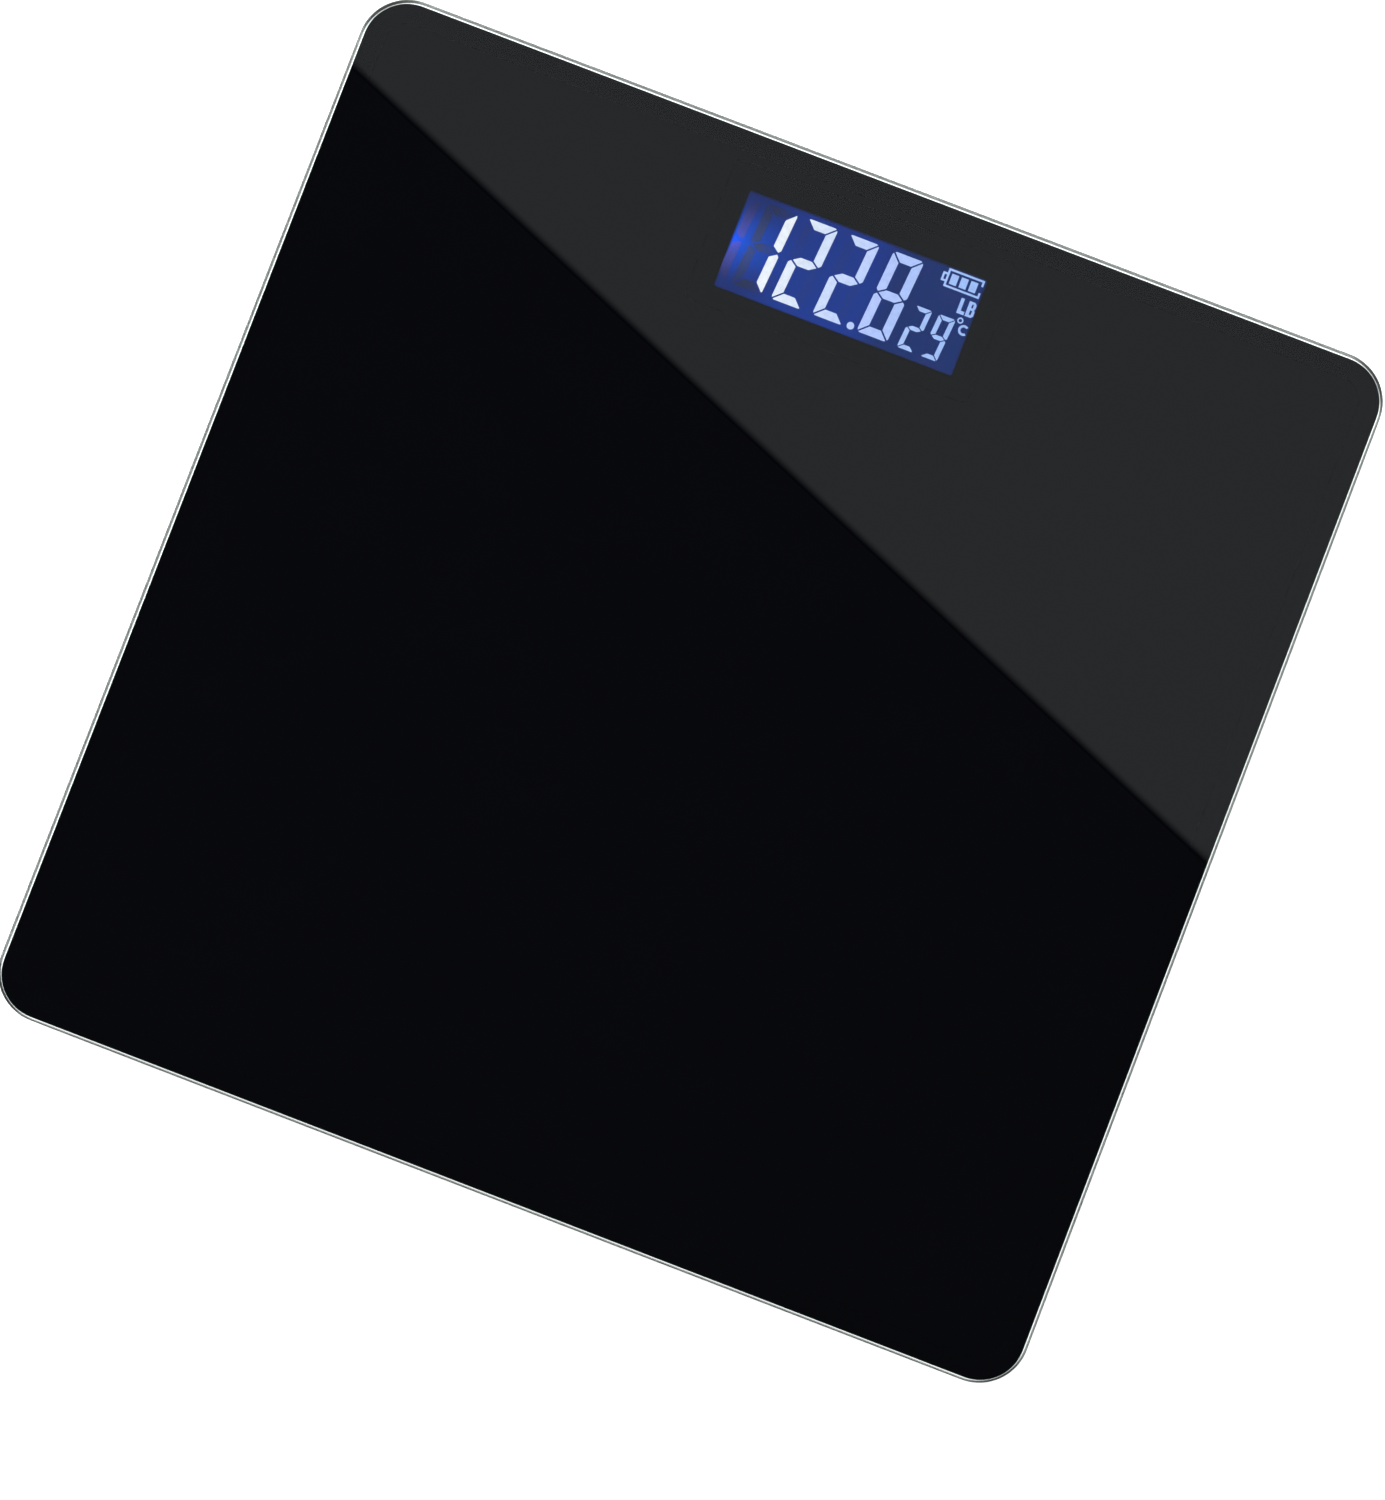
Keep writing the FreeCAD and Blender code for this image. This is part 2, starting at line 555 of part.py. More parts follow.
def battery_bay():
    """Walls and ceiling of the battery bay, with cradles that hold the cells down."""
    x, w = BAY_HALF_X, BAY_WALL
    bay = box(-x - w, x + w, BAY_Y0 - w, BAY_Y1 + w, FLOOR_TOP - 0.5, BAY_CEILING + w)
    bay = bay.cut(box(-x, x, BAY_Y0, BAY_Y1, FLOOR_TOP - 0.5, BAY_CEILING))
    for cx in (-13, 0, 13):
        cradle = box(cx - 0.6, cx + 0.6, BAY_Y0 - 0.2, BAY_Y1 + 0.2, 12.6, BAY_CEILING + 0.2)
        for y in BATTERY_Y.values():
            cradle = cradle.cut(Part.makeCylinder(BATTERY_R + 0.15, 4, V(cx - 2, y, BATTERY_Z), V(1, 0, 0)))
        bay = bay.multiFuse(cradle.Solids)
    for y in BATTERY_Y.values():
        bay = bay.cut(box(x - 0.1, x + w, y - 1.7, y + 1.7, 12.1, 12.8))        # slots for solder tails
    return bay


def wire_guides():
    """Pairs of small posts that hold the laid wires in their lanes."""
    posts = []
    near, tall, r = 3.1, 3.0, 0.8
    along_y = [(-FOOT_AT, y) for y in (-45, -5, 35)] + [(36.8, y) for y in (-60, -10, 30)]
    along_x = [(x, 72) for x in (-80, -55)] + [(x, 56) for x in (92, 70)] + [(55, -FOOT_AT)]
    for x, y in along_y:
        posts += [disc(x + s * near, y, r, FLOOR_TOP - 0.2, FLOOR_TOP + tall) for s in (-1, 1)]
    for x, y in along_x:
        posts += [disc(x, y + s * near, r, FLOOR_TOP - 0.2, FLOOR_TOP + tall) for s in (-1, 1)]
    return posts


def base_shell():
    half = BASE_SIDE / 2
    shell = square(half, BASE_CORNER_R, BASE_BOTTOM, BASE_TOP)
    shell = shell.makeFillet(BASE_EDGE_R, at_z(shell, BASE_BOTTOM))
    hollow = square(INNER_HALF, BASE_CORNER_R - WALL, FLOOR_TOP, BASE_TOP)
    hollow = hollow.makeFillet(2.0, at_z(hollow, FLOOR_TOP))
    shell = shell.cut(hollow)
    rim = square(half - 0.5, BASE_CORNER_R - 0.5, BASE_TOP - RIM_DEPTH, BASE_TOP)
    rim = rim.cut(square(half - RIM_WIDTH, BASE_CORNER_R - RIM_WIDTH, BASE_TOP - RIM_DEPTH, BASE_TOP))
    rim = rim.cut(display_notch(BASE_TOP - RIM_DEPTH, BASE_TOP))

    adds = [rim, battery_bay()] + ribs() + wire_guides()
    cuts = []
    for k in range(4):
        adds.append(corner(disc(0, 0, COLLAR_R, FLOOR_TOP - 0.5, COLLAR_TOP), k))
        adds.append(corner(disc(0, 0, LIP_R, BASE_BOTTOM - LIP_HEIGHT, BASE_BOTTOM + 0.5), k))
        cuts.append(corner(disc(0, 0, WELL_R, 0, COLLAR_TOP + 1), k))
        for x, y in EARS:
            adds.append(corner(disc(x, y, 3.2, FLOOR_TOP - 0.5, HOLDER_BOTTOM), k))
            cuts.append(corner(disc(x, y, 1.1, BASE_BOTTOM + 1.2, HOLDER_BOTTOM + 1), k))
    for x, y in BOARD_SCREWS:
        adds.append(disc(x, y, 3.0, FLOOR_TOP - 0.5, BOARD_BOTTOM))
        cuts.append(disc(x, y, 1.1, BASE_BOTTOM + 1.2, BOARD_BOTTOM + 1))
    adds.append(ring(BUTTON_X, BUTTON_Y, 5.9, 6.9, FLOOR_TOP - 0.5, FLOOR_TOP + 1.6))
    cuts.append(disc(BUTTON_X, BUTTON_Y, BUTTON_R + 0.3, 0, FLOOR_TOP + 0.1))
    cuts.append(disc(BUTTON_X, BUTTON_Y, 7.0, BASE_BOTTOM, BASE_BOTTOM + 0.5))
    cuts.append(rounded(-OPENING_HALF_X, OPENING_HALF_X, OPENING_Y0, OPENING_Y1, 1.0, 0, FLOOR_TOP + 0.1))
    cuts.append(rounded(-8, 8, OPENING_Y1 - 2, OPENING_Y1 + 4.5, 1.9, BASE_BOTTOM, BASE_BOTTOM + 1.2))
    cuts.append(rounded(-32, 32, -76, -44, 2.0, BASE_BOTTOM, BASE_BOTTOM + 0.3))
    groove = square(84, 12, BASE_BOTTOM, BASE_BOTTOM + 0.4)
    cuts.append(groove.cut(square(82.8, 10.8, BASE_BOTTOM, BASE_BOTTOM + 0.4)))
    shell = shell.multiFuse(adds)
    for c in cuts:
        shell = shell.cut(c)
    return shell.removeSplitter()


def rating_label():
    return rounded(-31, 31, -75, -45, 1.6, BASE_BOTTOM + 0.12, BASE_BOTTOM + 0.3)


# ---------------------------------------------------------------- assembly
def build():
    nodes["glass_platform"] = glass_platform()
    nodes["back_print"] = back_print()
    nodes["display_window"] = window_plate(0, PRINT_BOTTOM, PRINT_TOP)
    nodes["adhesive_tape"] = adhesive_tape()
    nodes["adhesive_pads"] = adhesive_pads()
    nodes["base_shell"] = base_shell()
    nodes["rating_label"] = rating_label()

    routes = wire_routes()
    for k, name in enumerate(CORNERS):
        nodes["foot_" + name] = corner(foot(), k)
        nodes["foot_pad_" + name] = corner(foot_pad(), k)
        nodes["load_cell_" + name] = corner(load_cell(), k)
        nodes["strain_gauge_" + name] = corner(strain_gauge(), k)
        nodes["cell_holder_" + name] = corner(cell_holder(), k)
        nodes["cell_wires_" + name] = cell_wires(routes[name])
    seat = HOLDER_BOTTOM + EAR_THICK
    screws = [corner(screw(x, y, seat), k) for k in range(4) for x, y in EARS]
    nodes["holder_screws"] = Part.makeCompound(screws)

    nodes["main_board"] = main_board()
    nodes["board_screws"] = Part.makeCompound([screw(x, y, BOARD_TOP) for x, y in BOARD_SCREWS])
    nodes["chip_blob"] = chip_blob()
    nodes["board_components"] = board_components()
    nodes["temperature_sensor"] = temperature_sensor()
    nodes["tact_switch"] = tact_switch()
    nodes["switch_plunger"] = switch_plunger()
    nodes["unit_button"] = unit_button()

    nodes.update(display_stack())
    nodes["backlight_strip"] = backlight_strip()
    nodes["backlight_leds"] = backlight_leds()
    nodes["display_frame"] = display_frame()

    for name, y in BATTERY_Y.items():
        nodes["battery_" + name] = battery(name)
    front, rear = BATTERY_Y["front"], BATTERY_Y["rear"]
    bridge = contact_plate(-1, front - 4.2, rear + 4.2)
    nodes["battery_bridge"] = Part.makeCompound([bridge, contact_spring(-1, front)])
    nodes["battery_contact_positive"] = battery_terminal(front)
    nodes["battery_contact_negative"] = Part.makeCompound([battery_terminal(rear), contact_spring(1, rear)])
    nodes["battery_lead_red"] = battery_lead("front", 33.6)
    nodes["battery_lead_black"] = battery_lead("rear", 31.0)
    nodes["battery_door"] = battery_door()


def write():
    os.makedirs("parts", exist_ok=True)
    for old in os.listdir("parts"):
        if old.endswith(".step"):
            os.remove(os.path.join("parts", old))
    for name, shape in nodes.items():
        shape.exportStep(os.path.join("parts", name + ".step"))
        solids = len(shape.Solids)
        print(f"{name}: {solids} solids, valid {shape.isValid()}, {shape.Volume / 1000:.3f} cm3")
    print(len(nodes), "nodes")


build()
write()
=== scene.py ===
import math

import bmesh
import bpy
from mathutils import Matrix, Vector
from mathutils.geometry import tessellate_polygon

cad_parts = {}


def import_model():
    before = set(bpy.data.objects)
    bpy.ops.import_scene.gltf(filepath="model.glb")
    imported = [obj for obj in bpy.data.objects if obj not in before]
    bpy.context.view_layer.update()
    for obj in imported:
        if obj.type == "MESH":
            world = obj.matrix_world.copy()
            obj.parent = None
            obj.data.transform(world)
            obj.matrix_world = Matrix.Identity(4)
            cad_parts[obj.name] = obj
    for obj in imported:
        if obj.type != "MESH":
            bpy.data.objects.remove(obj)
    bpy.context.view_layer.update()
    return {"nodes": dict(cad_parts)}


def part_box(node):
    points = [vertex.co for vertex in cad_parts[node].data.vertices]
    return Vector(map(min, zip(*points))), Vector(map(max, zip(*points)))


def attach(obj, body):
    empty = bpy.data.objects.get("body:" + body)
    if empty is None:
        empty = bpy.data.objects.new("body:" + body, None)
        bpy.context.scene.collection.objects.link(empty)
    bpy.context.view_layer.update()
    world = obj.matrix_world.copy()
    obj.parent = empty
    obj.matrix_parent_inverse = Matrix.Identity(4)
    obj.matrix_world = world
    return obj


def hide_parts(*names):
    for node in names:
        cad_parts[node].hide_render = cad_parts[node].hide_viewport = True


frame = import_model()
scene = bpy.context.scene
MM = 0.001
SCALE_BODY = "scale"

GLASS_LOW, GLASS_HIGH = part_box("glass_platform")
WINDOW_LOW, WINDOW_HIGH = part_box("display_window")
PANEL_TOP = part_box("polarizer_front")[1].z
WINDOW_MID = (WINDOW_LOW + WINDOW_HIGH) / 2
GLASS_CORNER_R = 13 * MM
PRINT_CORNER_R = 11.7 * MM

CAMERA_PLACE = (0.026644, -0.050483, 1.087534)
CAMERA_TURN = (2.17732, 0.35222, 20.99216)            # degrees
CARD_LIGHT = 0.53                                     # the card mirrored in the glass
ROOM_LIGHT = 0.95
OVERHEAD_LIGHT = 0.042                                # what the glass mirrors where the card isn't
FLOOR_GLOW = 0.72                                     # keeps the floor white round the scale
GLASS_IOR = 1.5
GLASS_PASSES = 0.88                                   # share of the display's light that the plate passes
FILM_ALPHA = 0.35
MIRRORED = 0.02                                       # what the glass's reflection adds over the display
THROUGH_GLASS = 1 / (GLASS_PASSES * (1 - FILM_ALPHA) ** 2)    # the light crosses both sides of the film


# ------------------------------------------------------------------ colours and node helpers
def linear(r, g, b):
    """An 8-bit screen colour as linear light."""
    def one(c):
        c /= 255
        return c / 12.92 if c <= 0.04045 else ((c + 0.055) / 1.055) ** 2.4
    return one(r), one(g), one(b), 1.0


def grey(v):
    return v, v, v, 1.0


def shown(r, g, b):
    """Light that a display point gives out to show as this screen colour under the glass's reflection."""
    return tuple(max(0.0, c - MIRRORED) for c in linear(r, g, b)[:3]) + (1.0,)


def feed(tree, socket, value):
    """Link an output to the socket, or set its value."""
    if isinstance(value, bpy.types.NodeSocket):
        tree.links.new(value, socket)
    else:
        socket.default_value = value


# sockets of the Mix node that are used when it mixes colours
MIX_FACTOR, MIX_A, MIX_B, MIX_RESULT = 0, 6, 7, 2


class Nodes:
    """Short ways to add nodes to one material."""

    def __init__(self, name):
        self.material = bpy.data.materials.new(name)
        self.material.use_nodes = True
        self.tree = self.material.node_tree
        self.shader = self.tree.nodes["Principled BSDF"]
        self.output = self.tree.nodes["Material Output"]

    def add(self, kind, **inputs):
        node = self.tree.nodes.new(kind)
        for name, value in inputs.items():
            self.set(node, name.replace("_", " "), value)
        return node

    def set(self, node, name, value):
        feed(self.tree, node.inputs[name], value)

    def feed(self, node, values):
        for index, value in values.items():
            feed(self.tree, node.inputs[index], value)

    def place(self):
        return self.add("ShaderNodeTexCoord").outputs["Object"]

    def noise(self, size_mm, detail=3.0, stretch=None):
        """Noise with features about size_mm across, 0 to 1."""
        where = self.place()
        if stretch:
            mapping = self.add("ShaderNodeMapping", Vector=where)
            mapping.inputs["Scale"].default_value = stretch
            where = mapping.outputs["Vector"]
        node = self.add("ShaderNodeTexNoise", Vector=where, Scale=1000.0 / size_mm, Detail=detail)
        return node.outputs["Fac"]

    def remap(self, value, a, b, to_a, to_b, smooth=False):
        node = self.add("ShaderNodeMapRange")
        if smooth:
            node.interpolation_type = "SMOOTHSTEP"
        self.feed(node, dict(enumerate((value, a, b, to_a, to_b))))
        return node.outputs[0]

    def math(self, operation, a, b=0.0):
        node = self.tree.nodes.new("ShaderNodeMath")
        node.operation = operation
        self.feed(node, {0: a, 1: b})
        return node.outputs[0]

    def mix(self, factor, a, b, blend="MIX"):
        node = self.tree.nodes.new("ShaderNodeMix")
        node.data_type = "RGBA"
        node.blend_type = blend
        self.feed(node, {MIX_FACTOR: factor, MIX_A: a, MIX_B: b})
        return node.outputs[MIX_RESULT]

    def xyz(self):
        return self.add("ShaderNodeSeparateXYZ", Vector=self.place()).outputs

    def edges(self, radius_mm):
        """1 along the piece's outer edges, fading to 0 within about radius_mm."""
        bevel = self.add("ShaderNodeBevel", Radius=radius_mm * MM)
        bevel.samples = 4
        true = self.add("ShaderNodeNewGeometry").outputs["Normal"]
        dot = self.tree.nodes.new("ShaderNodeVectorMath")
        dot.operation = "DOT_PRODUCT"
        self.tree.links.new(bevel.outputs[0], dot.inputs[0])
        self.tree.links.new(true, dot.inputs[1])
        return self.remap(dot.outputs["Value"], 0.80, 0.985, 1.0, 0.0)

    def bump(self, height, depth_mm):
        return self.add("ShaderNodeBump", Distance=depth_mm * MM, Height=height).outputs["Normal"]


def surface(name, colour, rough, metal=0.0, mottle=0.10, mottle_mm=18.0, grain_mm=0.5, grain=0.08,
            bump_mm=0.006, wear=0.0, wear_colour=None, wear_mm=0.5, stretch=None, specular=0.5, coat=0.0):
    """A moulded, painted or bare surface: drifting colour, fine grain in gloss and relief, worn edges."""
    n = Nodes(name)
    colour = tuple(colour[:3]) + (1.0,)
    dark = tuple(c * (1 - mottle) for c in colour[:3]) + (1.0,)
    light = tuple(min(1.0, c * (1 + mottle)) for c in colour[:3]) + (1.0,)
    base = n.mix(n.noise(mottle_mm), dark, light)
    fine = n.noise(grain_mm, 2.0, stretch=stretch)
    roughness = n.remap(fine, 0.3, 0.7, max(0.02, rough - grain), min(1.0, rough + grain))
    if wear:
        chips = n.remap(n.noise(2.2, 4.0), 0.42, 0.62, 0.25, 1.0)
        worn = n.math("MULTIPLY", n.math("MULTIPLY", n.edges(wear_mm), chips), wear)
        worn_colour = wear_colour or tuple(min(1.0, c * 1.6 + 0.03) for c in colour[:3]) + (1.0,)
        base = n.mix(worn, base, worn_colour)
        roughness = n.math("SUBTRACT", roughness, n.math("MULTIPLY", worn, 0.12))
    n.set(n.shader, "Base Color", base)
    n.set(n.shader, "Roughness", roughness)
    n.set(n.shader, "Metallic", metal)
    n.set(n.shader, "Specular IOR Level", specular)
    n.set(n.shader, "Coat Weight", coat)
    n.set(n.shader, "Normal", n.bump(fine, bump_mm))
    return n.material


def set_material(node_name, material):
    slots = frame["nodes"][node_name].data.materials
    if not len(slots):
        slots.append(material)
    for i in range(len(slots)):
        slots[i] = material


# ------------------------------------------------------------------ materials
def float_glass(name):
    """The smooth face of float glass, with the faintest waviness."""
    n = Nodes(name)
    n.set(n.shader, "IOR", GLASS_IOR)
    n.set(n.shader, "Roughness", n.remap(n.noise(60.0, 4.0), 0.40, 0.75, 0.0, 0.003))
    n.set(n.shader, "Normal", n.bump(n.noise(90.0, 1.0), 0.002))
    return n


def clear_glass():
    n = float_glass("clear_glass")
    n.set(n.shader, "Base Color", (0.93, 0.985, 0.965, 1.0))
    n.set(n.shader, "Transmission Weight", 1.0)
    return n.material


def glass_over_print():
    """The middle of the top face, shaded as black glass: light from above ends on the print anyway."""
    n = float_glass("glass_over_print")
    dark, light = (0.00054, 0.00070, 0.00143, 1.0), (0.00086, 0.00102, 0.0019, 1.0)
    n.set(n.shader, "Base Color", n.mix(n.noise(25.0), dark, light))
    return n.material


def ground_glass(name, clearness):
    """Fine-ground glass, a little green, as on the arrises and the edge of the plate."""
    n = Nodes(name)
    green = (0.90, 1.02, 0.98)
    dull, bright = (tuple(clearness * k * g for g in green) + (1.0,) for k in (0.92, 1.12))
    n.set(n.shader, "Base Color", n.mix(n.noise(12.0), dull, bright))
    n.set(n.shader, "Transmission Weight", 1.0)
    n.set(n.shader, "IOR", GLASS_IOR)
    fine = n.noise(0.25, 2.0)
    n.set(n.shader, "Roughness", n.remap(fine, 0.3, 0.7, 0.29, 0.38))
    n.set(n.shader, "Normal", n.bump(fine, 0.004))
    return n.material


def black_ink(name, rough):
    n = Nodes(name)
    dark, light = (0.0008, 0.00103, 0.0021, 1.0), (0.00127, 0.0015, 0.0028, 1.0)
    n.set(n.shader, "Base Color", n.mix(n.noise(25.0), dark, light))
    n.set(n.shader, "Roughness", n.remap(n.noise(0.8), 0.3, 0.7, rough - 0.08, rough + 0.08))
    n.set(n.shader, "Specular IOR Level", 0.0)
    n.set(n.shader, "Normal", n.bump(n.noise(0.4), 0.002))
    return n.material


def smoked_film():
    """See-through grey print over the display opening."""
    n = Nodes("smoked_film")
    dark, light = (0.0006, 0.0007, 0.0012, 1.0), (0.0012, 0.0014, 0.0022, 1.0)
    n.set(n.shader, "Base Color", n.mix(n.noise(6.0), dark, light))
    n.set(n.shader, "Roughness", n.remap(n.noise(0.5), 0.3, 0.7, 0.35, 0.5))
    n.set(n.shader, "Specular IOR Level", 0.0)
    n.set(n.shader, "Alpha", FILM_ALPHA)
    return n.material


def panel_light(n):
    """The backlight over the display's face: deep blue, with the lamps' glow fanning in from the left."""
    x, y, _ = n.xyz()
    left, middle = WINDOW_LOW.x, WINDOW_MID.y

    def bell(value, centre, reach):
        t = n.math("DIVIDE", n.math("SUBTRACT", value, centre), reach)
        return n.math("POWER", math.e, n.math("MULTIPLY", n.math("MULTIPLY", t, t), -1.0))

    to_top = n.remap(y, middle, WINDOW_HIGH.y - 1 * MM, 0.0, 1.0)
    to_bottom = n.remap(y, middle, WINDOW_LOW.y + 1 * MM, 0.0, 1.0)
    to_right = n.remap(x, 4 * MM, 13 * MM, 0.0, 1.0, smooth=True)
    colour = n.mix(to_top, shown(33, 61, 138), shown(33, 58, 134))
    colour = n.mix(to_bottom, colour, shown(28, 61, 142))
    colour = n.mix(to_right, colour, shown(36, 55, 109))
    off_middle = n.math("ABSOLUTE", n.math("SUBTRACT", y, middle))
    shade = n.math("MULTIPLY", n.remap(off_middle, 3.5 * MM, 11 * MM, 0.0, 0.5, True),
                   n.remap(x, left + 3 * MM, left + 19 * MM, 1.0, 0.0, True))
    colour = n.mix(shade, colour, shown(28, 40, 50))
    fan = n.math("MULTIPLY", bell(x, left, 9.0 * MM), bell(y, middle, 7.0 * MM))
    colour = n.mix(fan, colour, (0.0, 0.046, 0.365, 1.0), "ADD")
    lamp = n.math("MULTIPLY", bell(x, left + 0.4 * MM, 2.2 * MM), bell(y, middle, 2.0 * MM))
    colour = n.mix(lamp, colour, (0.0, 0.015, 0.40, 1.0), "ADD")
    patch = n.remap(n.noise(6.0, 2.0), 0.52, 0.72, 0.0, 0.25)
    return n.mix(patch, colour, shown(52, 54, 112))


def lit_panel():
    n = Nodes("lit_panel")
    x, y, _ = n.xyz()

    def inside(value, low, high):
        soft = 0.6 * MM
        return n.math("MULTIPLY", n.remap(value, low, low + soft, 0.3, 1.0, True),
                      n.remap(value, high - soft, high, 1.0, 0.3, True))

    edge = n.math("MULTIPLY", inside(x, WINDOW_LOW.x, WINDOW_HIGH.x),
                  inside(y, WINDOW_LOW.y, WINDOW_HIGH.y))
    n.set(n.shader, "Base Color", linear(14, 18, 34))
    n.set(n.shader, "Roughness", n.remap(n.noise(0.6), 0.3, 0.7, 0.25, 0.4))
    n.set(n.shader, "Specular IOR Level", 0.0)
    n.set(n.shader, "Emission Color", n.mix(edge, (0.0, 0.002, 0.012, 1.0), panel_light(n)))
    n.set(n.shader, "Emission Strength", THROUGH_GLASS)
    return n.material


def lit_segments():
    """Clear segments: warm white near the lamps, pale blue at the far end."""
    n = Nodes("lit_segments")
    x, _, _ = n.xyz()
    ramp = n.add("ShaderNodeValToRGB", Fac=n.remap(x, WINDOW_LOW.x, WINDOW_HIGH.x, 0.0, 1.0))
    stops = ramp.color_ramp.elements
    stops[0].position, stops[0].color = 0.0, shown(246, 244, 252)
    stops[1].position, stops[1].color = 1.0, shown(157, 185, 245)
    for at, colour in ((0.20, (236, 238, 250)), (0.33, (218, 226, 250)), (0.48, (200, 212, 252)),
                       (0.62, (182, 197, 253)), (0.80, (170, 194, 250))):
        stops.new(at).color = shown(*colour)
    tone = n.remap(n.noise(1.2), 0.3, 0.7, 0.92, 1.06)
    n.set(n.shader, "Base Color", linear(20, 24, 40))
    n.set(n.shader, "Roughness", n.remap(n.noise(0.6), 0.3, 0.7, 0.35, 0.45))
    n.set(n.shader, "Specular IOR Level", 0.0)
    tint = n.add("ShaderNodeCombineColor", Red=tone, Green=tone, Blue=tone).outputs[0]
    n.set(n.shader, "Emission Color", n.mix(1.0, ramp.outputs["Color"], tint, "MULTIPLY"))
    n.set(n.shader, "Emission Strength", THROUGH_GLASS)
    return n.material


def unlit_segments():
    """Segments that are off tint the backlight: red at the left end, then olive, then hardly at all."""
    n = Nodes("unlit_segments")
    x, _, _ = n.xyz()
    light = panel_light(n)
    parts = n.add("ShaderNodeSeparateColor", Color=light).outputs
    olive = n.remap(x, WINDOW_LOW.x + 3.3 * MM, WINDOW_LOW.x + 4.3 * MM, 0.0, 1.0)
    red = n.math("MULTIPLY", parts["Green"], n.math("SUBTRACT", 0.95, n.math("MULTIPLY", olive, 0.35)))
    blue = n.math("MULTIPLY", parts["Blue"], n.math("SUBTRACT", 0.64, n.math("MULTIPLY", olive, 0.24)))
    tinted = n.add("ShaderNodeCombineColor", Red=red, Green=parts["Green"], Blue=blue).outputs[0]
    strength = n.remap(x, WINDOW_LOW.x + 8 * MM, WINDOW_LOW.x + 13 * MM, 1.0, 0.22)
    mottled = n.math("MULTIPLY", strength, n.remap(n.noise(3.0), 0.35, 0.65, 0.7, 1.0))
    n.set(n.shader, "Base Color", linear(14, 18, 30))
    n.set(n.shader, "Roughness", n.remap(n.noise(0.6), 0.3, 0.7, 0.35, 0.45))
    n.set(n.shader, "Specular IOR Level", 0.0)
    n.set(n.shader, "Emission Color", n.mix(mottled, light, tinted))
    n.set(n.shader, "Emission Strength", THROUGH_GLASS)
    return n.material


# ------------------------------------------------------------------ meshes
def new_piece(name, bm, materials):
    mesh = bpy.data.meshes.new(name)
    bmesh.ops.recalc_face_normals(bm, faces=bm.faces)
    bm.to_mesh(mesh)
    bm.free()
    for m in materials:
        mesh.materials.append(m)
    piece = bpy.data.objects.new(name, mesh)
    scene.collection.objects.link(piece)
    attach(piece, SCALE_BODY)
    return piece


def rounded_square(half_x, half_y, r, steps=20, cx=0.0, cy=0.0):
    """Points round a rectangle with round corners, anticlockwise."""
    points = []
    for k, (sx, sy) in enumerate(((1, 1), (-1, 1), (-1, -1), (1, -1))):
        x, y = cx + sx * (half_x - r), cy + sy * (half_y - r)
        for i in range(steps + 1):
            a = math.pi / 2 * (k + i / steps)
            points.append((x + r * math.cos(a), y + r * math.sin(a)))
    return points


def window_outline(margin, r):
    """Points round the display opening, made larger by the margin."""
    half = (WINDOW_HIGH - WINDOW_LOW) / 2
    return rounded_square(half.x + margin, half.y + margin, r, 6, WINDOW_MID.x, WINDOW_MID.y)


def glass_plate():
    """The platform: flat faces, ground arrises and edge."""
    clear, ground_arris, over_print, ground_edge = range(4)
    materials = [clear_glass(), ground_glass("arris_glass", 0.36), glass_over_print(),
                 ground_glass("edge_glass", 0.62)]
    half, arris, steps = GLASS_HIGH.x, 0.3 * MM, 4
    turns = [math.pi / 2 * i / steps for i in range(steps + 1)]
    arc = [(arris * (1 - math.sin(t)), arris * (1 - math.cos(t))) for t in turns]
    rings = [(d, GLASS_LOW.z + h) for d, h in arc] + [(d, GLASS_HIGH.z - h) for d, h in reversed(arc)]
    bm = bmesh.new()

    def ring(outline, z):
        return [bm.verts.new((x, y, z)) for x, y in outline]

    loops = [ring(rounded_square(half - d, half - d, GLASS_CORNER_R - d), z) for d, z in rings]
    count = len(loops[0])
    for k, (a, b) in enumerate(zip(loops, loops[1:])):
        for i in range(count):
            face = bm.faces.new((a[i], a[(i + 1) % count], b[(i + 1) % count], b[i]))
            face.material_index = ground_edge if k == steps else ground_arris
            face.smooth = True
    bm.faces.new(list(reversed(loops[0])))
    reach = 6 * MM                                    # light from above strays less on its way to the print
    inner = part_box("back_print")[1].x - reach
    middle = ring(rounded_square(inner, inner, PRINT_CORNER_R - reach, 8), GLASS_HIGH.z)
    opening = ring(window_outline(reach, 2 * MM), GLASS_HIGH.z)
    for outer, hole, index in ((loops[-1], middle, clear), (middle, opening, over_print)):
        corners = outer + hole
        for triangle in tessellate_polygon([[v.co for v in outer], [v.co for v in hole]]):
            bm.faces.new([corners[i] for i in triangle]).material_index = index
    bm.faces.new(opening)
    for loop in (loops[0], loops[-1]):
        for i in range(count):
            bm.edges.get((loop[i], loop[(i + 1) % count])).smooth = False
    piece = new_piece("glass_plate", bm, materials)
    piece.visible_shadow = False
    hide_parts("glass_platform")


def slab(bm, loops, z0, z1):
    """A flat prism of one outline and any holes in it."""
    flat = [[Vector((x, y, 0)) for x, y in loop] for loop in loops]
    points = [p for loop in loops for p in loop]
    low = [bm.verts.new((x, y, z0)) for x, y in points]
    high = [bm.verts.new((x, y, z1)) for x, y in points]
    for a, b, c in tessellate_polygon(flat):
        bm.faces.new((high[a], high[b], high[c]))
        bm.faces.new((low[a], low[c], low[b]))
    start = 0
    for loop in loops:
        count = len(loop)
        for i in range(count):
            a, b = start + i, start + (i + 1) % count
            bm.faces.new((low[a], low[b], high[b], high[a]))
        start += count


def ink_sheet():
    """The black print, bonded to the glass."""
    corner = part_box("back_print")[1]
    outer = rounded_square(corner.x, corner.y, PRINT_CORNER_R)
    bm = bmesh.new()
    slab(bm, [outer, window_outline(0.0, 0.6 * MM)], GLASS_LOW.z + 0.02 * MM, GLASS_LOW.z + 0.04 * MM)
    new_piece("ink_sheet", bm, [black_ink("bonded_ink", 0.6)])


